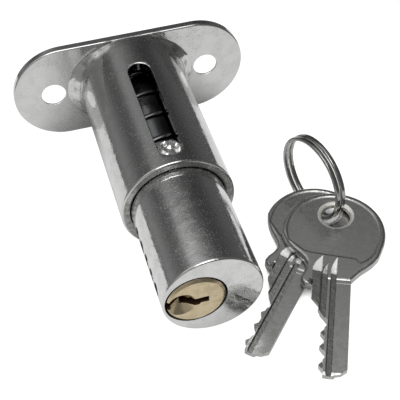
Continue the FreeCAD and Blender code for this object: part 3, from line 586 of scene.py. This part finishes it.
coil, sizes, share = wire_tree("coil_spring", (
    "Coil radius", "Wire radius", "Start", "Stop", "Turns", "End turns", "End pitch", "Start angle"
))
all_turns = number(coil, "ADD", sizes["Turns"], number(coil, "MULTIPLY", sizes["End turns"], 2))
turns = number(coil, "MULTIPLY", share, all_turns)
steep = number(coil, "MAXIMUM", number(coil, "SUBTRACT", turns, sizes["End turns"]), 0)
steep = number(coil, "MINIMUM", steep, sizes["Turns"])
end_rise = number(coil, "MULTIPLY", number(coil, "MULTIPLY", sizes["End turns"], sizes["End pitch"]), 2)
rise = number(coil, "SUBTRACT", number(coil, "SUBTRACT", sizes["Stop"], sizes["Start"]), end_rise)
pitch = number(coil, "DIVIDE", rise, sizes["Turns"])
flat = number(coil, "MULTIPLY", number(coil, "SUBTRACT", turns, steep), sizes["End pitch"])
along = number(coil, "ADD", number(coil, "ADD", sizes["Start"], flat), number(coil, "MULTIPLY", steep, pitch))
angle = number(coil, "MULTIPLY_ADD", turns, 2 * math.pi, sizes["Start angle"])
x, z = about(coil, sizes["Coil radius"], angle)
section = coil.nodes.new("GeometryNodeCurvePrimitiveCircle")
section.inputs["Resolution"].default_value = 24
coil.links.new(sizes["Wire radius"], section.inputs["Radius"])
draw_wire(coil, sizes, 560, spot(coil, x, number(coil, "MULTIPLY", along, -1), z), section.outputs["Curve"])
wire = metal("spring_wire", (0.1, 0.1, 0.1), (0.04, 0.04, 0.04), (0.16, 0.3))
spring = grown(
    "spring_coil", coil, wire, coil_radius=9.3 * MM, wire_radius=0.7 * MM, start=3.72 * MM,
    stop=39.58 * MM, turns=4, end_turns=0.9, end_pitch=1.95 * MM, start_angle=math.radians(222),
)
finish(smooth(spring, 60), "housing_body", "main_spring")
# The spring is 37.3 mm long at rest, and the plunger's travel of 26 mm comes off that.
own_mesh(spring)

# Keys: two equal flat keys, stamped and satin nickel plated, with milled grooves and five
# cuts. They lie on each other with their tips on the table, and the ring through their
# holes holds their bows up a little.
nickel = metal(
    "key_nickel", (0.45, 0.45, 0.44), (0.37, 0.37, 0.36), (0.24, 0.36),
    bump=0.003, ripple=500, grain=1800, grain_height=0.2, haze=900,
)
# Painted shade: the groove floors are coloured darker than the key's faces, standing in for the shade in the
# grooves, with a stronger bump.
groove_shade_nickel = metal(
    "groove_nickel", (0.44, 0.44, 0.43), (0.3, 0.3, 0.29), (0.24, 0.4),
    bump=0.02, ripple=900, grain=1800, haze=900,
)
# Painted highlight: the key hole's wall and bevels are coloured near white.
hole_nickel = metal("hole_nickel", (0.95, 0.94, 0.88), (0.8, 0.79, 0.73), (0.3, 0.5), metallic=0.75)
# Painted highlight: groove run-outs and the slopes from bow to blade are coloured near white.
cut_nickel = metal("cut_nickel", (0.95, 0.95, 0.93), (0.85, 0.85, 0.83), (0.3, 0.45), metallic=0.5)
half_bow, half_blade = 1.2, 1.05
bow_radius, bow_middle = 11.8, (5.0, -0.3)
rim_round, rim_wide = 0.85, 1.0
blade_back, blade_edge, blade_start = 4.1, 4.25, 17.4
stop_at, tip_at = 20.75, 43.2
cuts = (-2.6, -0.45, -0.95, -0.55, -0.9)
cut_first, cut_flat, cut_slope = 26.25, 1.2, 0.8
clear_of_key = 3
table = flange_low.z / MM


def bitten_edge():
    """The blade's cut edge from the stop to the tip: flats for the pins with slopes between."""
    places = [(cut_first - cut_flat / 2 - (cuts[0] + blade_edge) / cut_slope, -blade_edge)]
    for i, level in enumerate(cuts):
        middle = cut_first + pin_pitch * i
        places += [(middle - cut_flat / 2, level), (middle + cut_flat / 2, level)]
        if i < len(cuts) - 1:
            drop = (level - cuts[i + 1]) / 2
            places.append((
                middle + pin_pitch / 2 + drop / cut_slope,
                level - cut_slope * (pin_pitch - cut_flat) / 2 - drop,
            ))
    return places


def bow_arc(radius, first, last, steps=96):
    """Points round the bow between two angles in degrees."""
    places = []
    for i in range(steps + 1):
        angle = math.radians(first + (last - first) * i / steps)
        places.append((bow_middle[0] + radius * math.cos(angle), bow_middle[1] + radius * math.sin(angle)))
    return places


def inset(outline, distance):
    """An outline drawn in by a distance, each point square to its neighbours' line."""
    places = []
    for i, (x, y) in enumerate(outline):
        before, after = outline[i - 1], outline[(i + 1) % len(outline)]
        run = Vector((after[0] - before[0], after[1] - before[1])).normalized()
        places.append((x - run.y * distance, y + run.x * distance))
    return places


def plate(name, outline, levels):
    """A flat piece in a key's own frame, with X from its hole to its tip, Y to its back and
    Z up from its middle. Levels are pairs of how far the outline is drawn in and a height."""
    return shell(name, [
        [Vector((x, y, z)) * MM for x, y in inset(outline, distance)] for distance, z in levels
    ], nickel)


def crosswise(name, profile, start, stop):
    """A tool with a profile along the key, reaching across it from one place to another."""
    return shell(name, [[Vector((x, y, z)) * MM for x, z in profile] for y in (start, stop)], nickel)


def groove(profile, deep, start, run_out, above=True, pointed=True, end=cut_nickel):
    """A milled groove's tool, from its profile across the blade as pairs of a place and a
    share of the depth. At the bow end the floor runs out of the blade, in the end's material,
    which by default is near white as a painted highlight, and a pointed groove narrows there."""
    side = 1 if above else -1
    point = profile[-1][0] if pointed else 0
    steps = 8
    sections = []
    for i in range(steps + 2):
        t = min(i / steps, 1)
        x = start + run_out * t if i <= steps else tip_at + 2
        wide = max(0.06, 1 - (1 - t) ** 2) if pointed else 1
        row = []
        for y, share in profile:
            height = half_blade + 0.02 - (deep * share + 0.02) * t
            row.append((point + (y - point) * wide, height))
        row += [(row[-1][0], half_blade + 1), (row[0][0], half_blade + 1)]
        sections.append([Vector((x, y, side * z)) * MM for y, z in row])
    tool = shell("groove", sections, groove_shade_nickel)
    tool.data.materials.append(end)
    floor_reached = (start + run_out + 0.05) * MM
    for polygon in tool.data.polygons:
        if max(tool.data.vertices[v].co.x for v in polygon.vertices) < floor_reached:
            polygon.material_index = 1
    return tool


def stamp(name):
    """The stamped key: a blade with its cut edge, and a bow with a round rim and a sunk field
    on both faces."""
    blade_outline = [(blade_start, blade_back), (blade_start, -blade_edge + 0.1)] + bitten_edge() + [
        (tip_at, 0.1), (tip_at, 0.8), (tip_at - 0.5, blade_back - 1.3), (tip_at - 1.6, blade_back),
    ]
    key = plate(name, blade_outline, ((0, -half_blade), (0, half_blade)))
    bow_outline = bow_arc(bow_radius, 72, 276) + [
        (7.9, -11.3), (9.4, -10.4), (10.9, -9.1), (12.0, -7.8), (13.3, -6.5), (14.8, -5.8), (16.4, -6.1),
        (17.8, -6.7), (19.0, -6.9), (20.0, -6.6), (20.6, -5.9), (stop_at, -5.0), (stop_at, -4.35),
        (19.3, -4.35), (19.2, -4.0), (19.2, 3.9), (18.7, 4.1), (17.6, 4.9), (16.0, 6.2), (14.9, 7.4),
        (13.5, 8.8), (11.5, 10.1),
    ]
    rim = rounded((0, half_bow), (0, 0), (5, half_bow), rim_round, 4)
    carve(key, plate("bow", bow_outline, [(within, -z) for within, z in reversed(rim)] + rim), "UNION")
    field_outline = bow_arc(bow_radius - rim_wide, 72, 290) + [
        (10.4, -8.2), (11.5, -6.9), (12.0, -5.1), (12.4, -0.9), (12.9, 4.9), (14.0, 6.0),
        (12.9, 7.7), (10.8, 9.3),
    ]
    field_wall = ((0.55, -0.24), (0.3, -0.19), (0.12, -0.1), (0, 0), (-0.3, 0.3))
    for side in (1, -1):
        wall = [(within, side * (half_bow + height)) for within, height in field_wall]
        carve(key, plate("field", field_outline, wall))
    return key


def mill(key):
    """Mills the grooves, slopes the bow down to the blade, and bevels the tip."""
    middle_groove = ((-0.4, 0.02), (-0.15, 0.8), (0.7, 1), (0.95, 0.02))
    lower_groove = ((-2.4, 0.02), (-2.15, 0.78), (-1.2, 1), (-0.95, 0.02))
    edge_groove = ((-4.4, 0.4), (-2.6, 1), (-2.3, 0.02))
    back_step = ((1.4, 0.02), (1.6, 1), (8, 1))
    edge_step = ((-7, 1), (-2.4, 1), (-2.2, 0.02))
    for tool in (
        groove(middle_groove, deep=0.68, start=12.7, run_out=4.2),
        groove(lower_groove, deep=0.68, start=14.3, run_out=3.0, end=groove_shade_nickel),
        groove(edge_groove, deep=0.5, start=12.5, run_out=4.0),
        groove(back_step, deep=0.9, start=stop_at, run_out=1.5, above=False, pointed=False),
        groove(edge_step, deep=0.6, start=stop_at + 0.1, run_out=0.4, above=False, pointed=False),
    ):
        carve(key, tool)
    # The sloped faces from the bow down to the blade get the near white colour, a painted highlight.
    slope = crosswise("slope", (
        (18.9, half_bow + 0.01), (19.9, half_blade - 0.02), (tip_at + 2, half_blade - 0.02),
        (tip_at + 2, clear_of_key), (18.9, clear_of_key),
    ), 0.97, 8)
    slope.data.materials.append(cut_nickel)
    for polygon in slope.data.polygons:
        if 0.05 < abs(polygon.normal.x) < 0.9:
            polygon.material_index = 1
    carve(key, slope)
    for side in (1, -1):
        carve(key, crosswise("tip_bevel", (
            (tip_at - 0.7, side * (half_blade + 0.01)), (tip_at + 0.3, side * (half_blade - 0.6)),
            (tip_at + 0.3, side * clear_of_key), (tip_at - 0.7, side * clear_of_key),
        ), -6, 6))


def drill(key):
    """Drills the hole for the ring and opens both its ends. Its wall and bevels are coloured near white, a
    painted highlight.
    """
    half_hole = [(3.4, 0.48), (3.5, 0.58), (4.22, 0.96), (4.9, 1.3)]
    turns = [2 * math.pi * i / 64 for i in range(64)]
    rings = []
    for radius, z in [(radius, -z) for radius, z in reversed(half_hole)] + half_hole:
        rings.append([Vector((radius * math.cos(turn), radius * math.sin(turn), z)) * MM for turn in turns])
    carve(key, shell("key_hole", rings, hole_nickel))


def lay_down(key, yaw, x, y, level):
    """Turns a key about its hole and leans it toward the lower key's tip."""
    lean_axis = Vector((-math.sin(spare_yaw), math.cos(spare_yaw), 0))
    place = Matrix.Translation(Vector((x, y, level)) * MM)
    key.data.transform(place @ Matrix.Rotation(key_lean, 4, lean_axis) @ Matrix.Rotation(yaw, 4, "Z"))


key_yaw, spare_yaw, key_lean = (math.radians(degrees) for degrees in (-114.2, -133.2, 2.0))
key_x, key_y, spare_x, spare_y = 35.55, -55.9, 34.6, -51.95
spare_level = table + half_blade + tip_at * math.sin(key_lean) + 0.02
apart = (key_x - spare_x) * math.cos(spare_yaw) + (key_y - spare_y) * math.sin(spare_yaw)
key_level = spare_level + 2 * half_bow + 0.05 - apart * math.sin(key_lean)
for name, node, body, yaw, x, y, level in (
    ("upper_key", "key_1", "key_body", key_yaw, key_x, key_y, key_level),
    ("lower_key", "key_2", "spare_key_body", spare_yaw, spare_x, spare_y, spare_level),
):
    key = stamp(name)
    mill(key)
    drill(key)
    lay_down(key, yaw, x, y, level)
    finish(smooth(key), body, node)

# Split ring: one flat spring-steel wire in two turns, nickel plated. It stands on edge
# through both keys' holes, and a short jog leads from one turn to the other.
ring, sizes, share = wire_tree("split_ring", (
    "Radius", "Wire wide", "Wire thick", "Turn gap", "Jog", "First end", "Last end"
))
span = number(ring, "SUBTRACT", sizes["Last end"], sizes["First end"])
angle = number(ring, "MULTIPLY_ADD", share, span, sizes["First end"])
jog_start = number(ring, "SUBTRACT", 2 * math.pi, number(ring, "DIVIDE", sizes["Jog"], 2))
climb = graded(ring, angle, jog_start, number(ring, "ADD", jog_start, sizes["Jog"]), soft=True)
step = number(ring, "ADD", sizes["Wire wide"], sizes["Turn gap"])
x, y = about(ring, sizes["Radius"], angle)
z = number(ring, "MULTIPLY", step, number(ring, "SUBTRACT", climb, 0.5))
section = ring.nodes.new("GeometryNodeCurvePrimitiveQuadrilateral")
ring.links.new(sizes["Wire thick"], section.inputs["Width"])
ring.links.new(sizes["Wire wide"], section.inputs["Height"])
corners = ring.nodes.new("GeometryNodeFilletCurve")
corners.mode = "POLY"
corners.inputs["Count"].default_value = 3
corners.inputs["Radius"].default_value = 0.18 * MM
ring.links.new(section.outputs["Curve"], corners.inputs["Curve"])
draw_wire(ring, sizes, 480, spot(ring, x, y, z), corners.outputs["Curve"])
steel = metal(
    "ring_steel", (0.37, 0.37, 0.36), (0.3, 0.3, 0.29), (0.15, 0.3),
    bump=0.006, ripple=600, grain=2000, grain_height=0.5, haze=900,
)
ring_radius, ring_wire_thick = 10.05, 0.9
split_ring = grown(
    "split_ring_wire", ring, steel, radius=ring_radius * MM, wire_wide=1.0 * MM,
    wire_thick=ring_wire_thick * MM, turn_gap=0.45 * MM, jog=math.radians(22),
    first_end=math.radians(23), last_end=math.radians(337 + 360),
)
ring_level = table + ring_radius + ring_wire_thick / 2 + 0.02
ring_place = Matrix.Translation(Vector((33.1, -47.0, ring_level)) * MM)
ring_place @= Matrix.Rotation(math.radians(16), 4, "Z") @ Matrix.Rotation(math.radians(90), 4, "Y")
split_ring.data.transform(ring_place @ Matrix.Rotation(math.radians(5), 4, "Z"))
finish(smooth(split_ring, 40), "ring_body", "key_ring")


# Table and light: a white table, which the lens and the chrome both see as white, under a
# dim studio sky with one soft lamp overhead. The sky's levels follow the turn from the
# lock's right over its top to its left, and are the same below.
def panels(tree, share, stops):
    """A soft ramp of grey levels, from pairs of a share of the half turn and a level."""
    node = tree.nodes.new("ShaderNodeValToRGB")
    node.color_ramp.interpolation = "B_SPLINE"
    ramp = node.color_ramp.elements
    for i, (place, level) in enumerate(stops):
        element = ramp[i] if i < 2 else ramp.new(place)
        element.position = place
        element.color = (level, level, level, 1)
    tree.links.new(share, node.inputs["Fac"])
    return node.outputs["Color"]


def vector_math(tree, operation, first, second):
    """The outputs of a Vector Math node with two inputs."""
    node = tree.nodes.new("ShaderNodeVectorMath")
    node.operation = operation
    feed(tree, node.inputs[0], first)
    feed(tree, node.inputs[1], second)
    return node.outputs


def studio_sky():
    """The world: white to the lens, and grey panels and a lamp to the lock."""
    world = bpy.data.worlds.new("studio")
    world.use_nodes = True
    bpy.context.scene.world = world
    tree = world.node_tree
    way = tree.nodes.new("ShaderNodeTexCoord").outputs["Generated"]
    parts = tree.nodes.new("ShaderNodeSeparateXYZ")
    tree.links.new(way, parts.inputs["Vector"])
    x, y, z = parts.outputs
    share = number(tree, "DIVIDE", number(tree, "ARCTAN2", number(tree, "ABSOLUTE", z), x), math.pi)
    far_behind = (
        (0.0, 0.13), (0.11, 0.11), (0.2, 0.065), (0.29, 0.05), (0.378, 0.075), (0.467, 0.14),
        (0.556, 0.22), (0.644, 0.32), (0.70, 0.22), (0.733, 0.14), (0.822, 0.09), (0.911, 0.19),
        (1.0, 0.27),
    )
    behind = (
        (0.0, 0.12), (0.2, 0.08), (0.29, 0.08), (0.378, 0.12), (0.467, 0.28), (0.556, 0.62),
        (0.62, 0.8), (0.68, 0.6), (0.733, 0.25), (0.822, 0.12), (0.911, 0.19), (1.0, 0.27),
    )
    overhead = (
        (0.0, 0.1), (0.25, 0.12), (0.33, 0.1), (0.42, 0.62), (0.5, 2.0), (0.6, 4.6), (0.68, 3.4),
        (0.78, 0.5), (0.88, 0.2), (1.0, 0.2),
    )
    in_front = ((0.0, 0.15), (0.3, 0.13), (0.5, 0.15), (0.62, 0.4), (0.85, 0.45), (1.0, 0.3))
    light = panels(tree, share, far_behind)
    for stops, begin, end in ((behind, 0.668, 0.608), (overhead, 0.61, 0.34), (in_front, 0.25, -0.05)):
        light = blend(tree, graded(tree, y, begin, end), light, panels(tree, share, stops))
    lamp_way = Vector((-0.08, -0.28, 0.95)).normalized()
    lamp_edge, lamp_core, lamp_level = math.cos(0.45), math.cos(0.25), 4.0
    toward_lamp = vector_math(tree, "DOT_PRODUCT", way, lamp_way)["Value"]
    lamp = graded(tree, toward_lamp, lamp_edge, lamp_core, 0.0, lamp_level, soft=True)
    sky = tree.nodes["Background"]
    tree.links.new(vector_math(tree, "ADD", light, lamp)["Vector"], sky.inputs["Color"])
    plain = tree.nodes.new("ShaderNodeBackground")
    plain.inputs["Color"].default_value = (1, 1, 1, 1)
    choose = tree.nodes.new("ShaderNodeMixShader")
    tree.links.new(tree.nodes.new("ShaderNodeLightPath").outputs["Is Camera Ray"], choose.inputs["Fac"])
    tree.links.new(sky.outputs["Background"], choose.inputs[1])
    tree.links.new(plain.outputs["Background"], choose.inputs[2])
    tree.links.new(choose.outputs["Shader"], tree.nodes["World Output"].inputs["Surface"])


def white_surface():
    """A matt white that also glows to the lens and to reflections, but not in nooks, where the
    shadows of the pieces stay and the glow fades with ambient occlusion as a painted shade."""
    material = bpy.data.materials.new("white_table")
    material.use_nodes = True
    tree = material.node_tree
    matt = tree.nodes["Principled BSDF"]
    matt.inputs["Base Color"].default_value = (0.85, 0.85, 0.85, 1)
    matt.inputs["Roughness"].default_value = 0.9
    rays = tree.nodes.new("ShaderNodeLightPath").outputs
    near = tree.nodes.new("ShaderNodeAmbientOcclusion")
    near.inputs["Distance"].default_value = 20 * MM
    # Painted shade: the glow follows ambient occlusion, down to 0.05 to the lens and 0.2 in reflections.
    seen = graded(tree, near.outputs["AO"], 0.08, 0.2, 0.05, 1.3)
    reflected = graded(tree, near.outputs["AO"], 0.35, 0.75, 0.2, 1.0)
    glow = tree.nodes.new("ShaderNodeEmission")
    level = blend(tree, rays["Is Camera Ray"], reflected, seen, "FLOAT")
    tree.links.new(level, glow.inputs["Strength"])
    camera_share = number(tree, "MULTIPLY", rays["Is Camera Ray"], 0.8)
    glossy_share = number(tree, "MULTIPLY", rays["Is Glossy Ray"], 0.75)
    choose = tree.nodes.new("ShaderNodeMixShader")
    tree.links.new(number(tree, "MAXIMUM", camera_share, glossy_share), choose.inputs["Fac"])
    tree.links.new(matt.outputs["BSDF"], choose.inputs[1])
    tree.links.new(glow.outputs["Emission"], choose.inputs[2])
    tree.links.new(choose.outputs["Shader"], tree.nodes["Material Output"].inputs["Surface"])
    return material


studio_sky()
bpy.context.scene.view_settings.view_transform = "Standard"
table_corners = ((-72, -200), (75, -200), (75, 200), (-72, 200))
table_top = shell("table_top", [
    [Vector((x, y, z)) * MM for x, y in table_corners] for z in (table - 20, table)
], white_surface())


# Camera: a perspective view from above the key end, 46 degrees up and 15 degrees to the
# lock's left, as in the photograph.
def look_from(azimuth, elevation, roll, distance, target, lens):
    """A camera whose view direction leans by azimuth toward -X and by elevation up."""
    az, el, turn = (math.radians(degrees) for degrees in (azimuth, elevation, roll))
    back = Vector((-math.sin(az) * math.cos(el), -math.cos(az) * math.cos(el), math.sin(el)))
    right = Vector((math.cos(az), -math.sin(az), 0))
    up = back.cross(right)
    rolled_right = right * math.cos(turn) + up * math.sin(turn)
    rolled_up = up * math.cos(turn) - right * math.sin(turn)
    place = Matrix((rolled_right, rolled_up, back)).transposed().to_4x4()
    place.translation = target + back * distance
    camera = bpy.data.objects.new("camera", bpy.data.cameras.new("camera"))
    bpy.context.scene.collection.objects.link(camera)
    camera.matrix_world = place
    camera.data.lens = lens
    camera.data.sensor_width = 36
    camera.data.clip_start = 0.01
    return camera


bpy.context.scene.camera = look_from(
    azimuth=15.083, elevation=46.248, roll=-1.770, distance=237.6 * MM,
    target=Vector((8.62, -35.0, -14.66)) * MM, lens=86.49,
)
